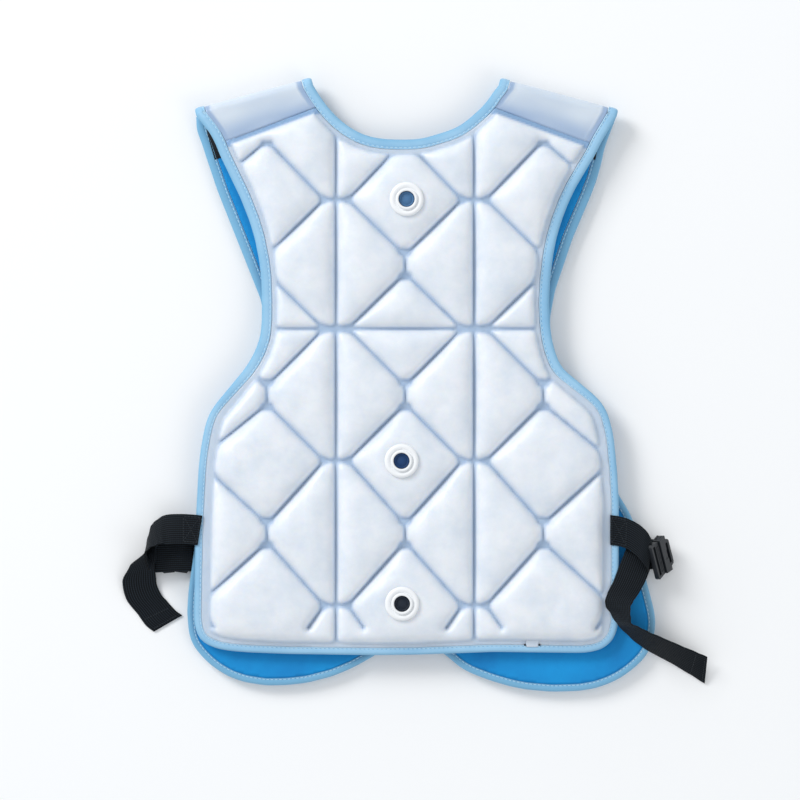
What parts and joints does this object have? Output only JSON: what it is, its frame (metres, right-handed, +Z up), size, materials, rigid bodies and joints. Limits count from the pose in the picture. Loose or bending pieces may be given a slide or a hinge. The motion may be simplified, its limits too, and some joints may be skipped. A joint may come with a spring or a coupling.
{
  "type": "cooling vest",
  "caption": "Cooling vest lying flat, back up: quilted filled film pads bound in light blue tape, blue cloth fronts, filling valves and black buckled side straps.",
  "frame": {"origin": "middle of the underside of the box round the vest, on the surface it lies on", "axes": "+Z up out of the back of the vest, +Y towards the neck, +X to the wearer's right"},
  "size_m": [0.5888, 0.6154, 0.0478],
  "materials": {
    "pad_film": "satin translucent film",
    "shoulder_film": "satin translucent film",
    "shell_cloth": "woven",
    "binding_tape": "woven tape, stitched",
    "webbing": "ribbed webbing",
    "hook_loop": "hook and loop",
    "buckle_plastic": "moulded",
    "valve_plastic": "moulded",
    "valve_plug_1": "moulded",
    "valve_plug_2": "moulded",
    "valve_plug_3": "moulded"
  },
  "bodies": {
    "root": {"back_shell": "shell_cloth", "back_pad": "pad_film", "back_edge_binding": "binding_tape", "neck_binding": "binding_tape", "front_closure": "binding_tape", "shoulder_film_left": "shoulder_film", "shoulder_cloth_left": "shell_cloth", "front_shell_left": "shell_cloth", "front_pad_left": "pad_film", "front_binding_left": "binding_tape", "shoulder_patch_left": "hook_loop", "strap_left_back": "webbing", "strap_left_tail": "webbing", "strap_left_front": "webbing", "buckle_left_plug": "buckle_plastic", "buckle_left_socket": "buckle_plastic", "shoulder_film_right": "shoulder_film", "shoulder_cloth_right": "shell_cloth", "front_shell_right": "shell_cloth", "front_pad_right": "pad_film", "front_binding_right": "binding_tape", "shoulder_patch_right": "hook_loop", "strap_right_back": "webbing", "strap_right_tail": "webbing", "strap_right_front": "webbing", "buckle_right_plug": "buckle_plastic", "buckle_right_socket": "buckle_plastic", "valve_ring_1": "valve_plastic", "valve_plug_1": "valve_plug_1", "valve_ring_2": "valve_plastic", "valve_plug_2": "valve_plug_2", "valve_ring_3": "valve_plastic", "valve_plug_3": "valve_plug_3"}
  },
  "joints": []
}
